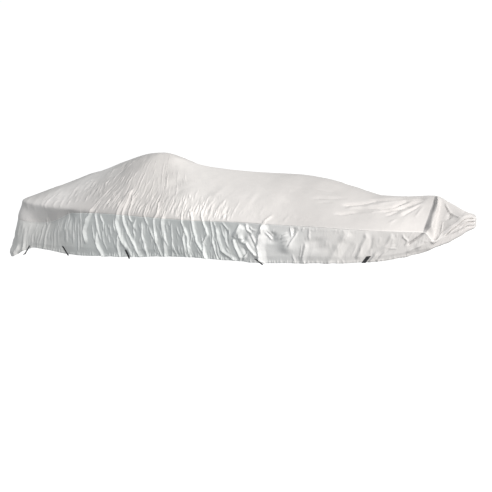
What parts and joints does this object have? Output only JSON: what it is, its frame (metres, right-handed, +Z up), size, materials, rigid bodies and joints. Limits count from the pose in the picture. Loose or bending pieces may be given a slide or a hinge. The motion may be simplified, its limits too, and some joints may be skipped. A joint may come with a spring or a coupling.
{
  "type": "fitted boat cover",
  "caption": "Fitted waterproof cloth cover for a small open boat, with gathered skirts and webbing tie-downs.",
  "frame": {"origin": "underside of the top, on the centreline amidships, where the covered boat carries the cloth", "axes": "+X to the bow, +Y to port, +Z up"},
  "size_m": [4.9402, 2.0509, 1.0902],
  "materials": {
    "top_cloth": "coated woven polyester, warm white-grey, semi-gloss",
    "skirt_cloth": "coated woven polyester, cool light grey, semi-gloss",
    "webbing": "matt charcoal webbing"
  },
  "bodies": {
    "root": {"top_aft": "top_cloth", "top_fore": "top_cloth", "skirt_starboard": "skirt_cloth", "skirt_port": "skirt_cloth", "tie_stern_starboard": "webbing", "tie_stern_port": "webbing", "tie_quarter_starboard": "webbing", "tie_quarter_port": "webbing", "tie_aft_starboard": "webbing", "tie_aft_port": "webbing", "tie_middle_starboard": "webbing", "tie_middle_port": "webbing", "tie_fore_starboard": "webbing", "tie_fore_port": "webbing"}
  },
  "joints": []
}
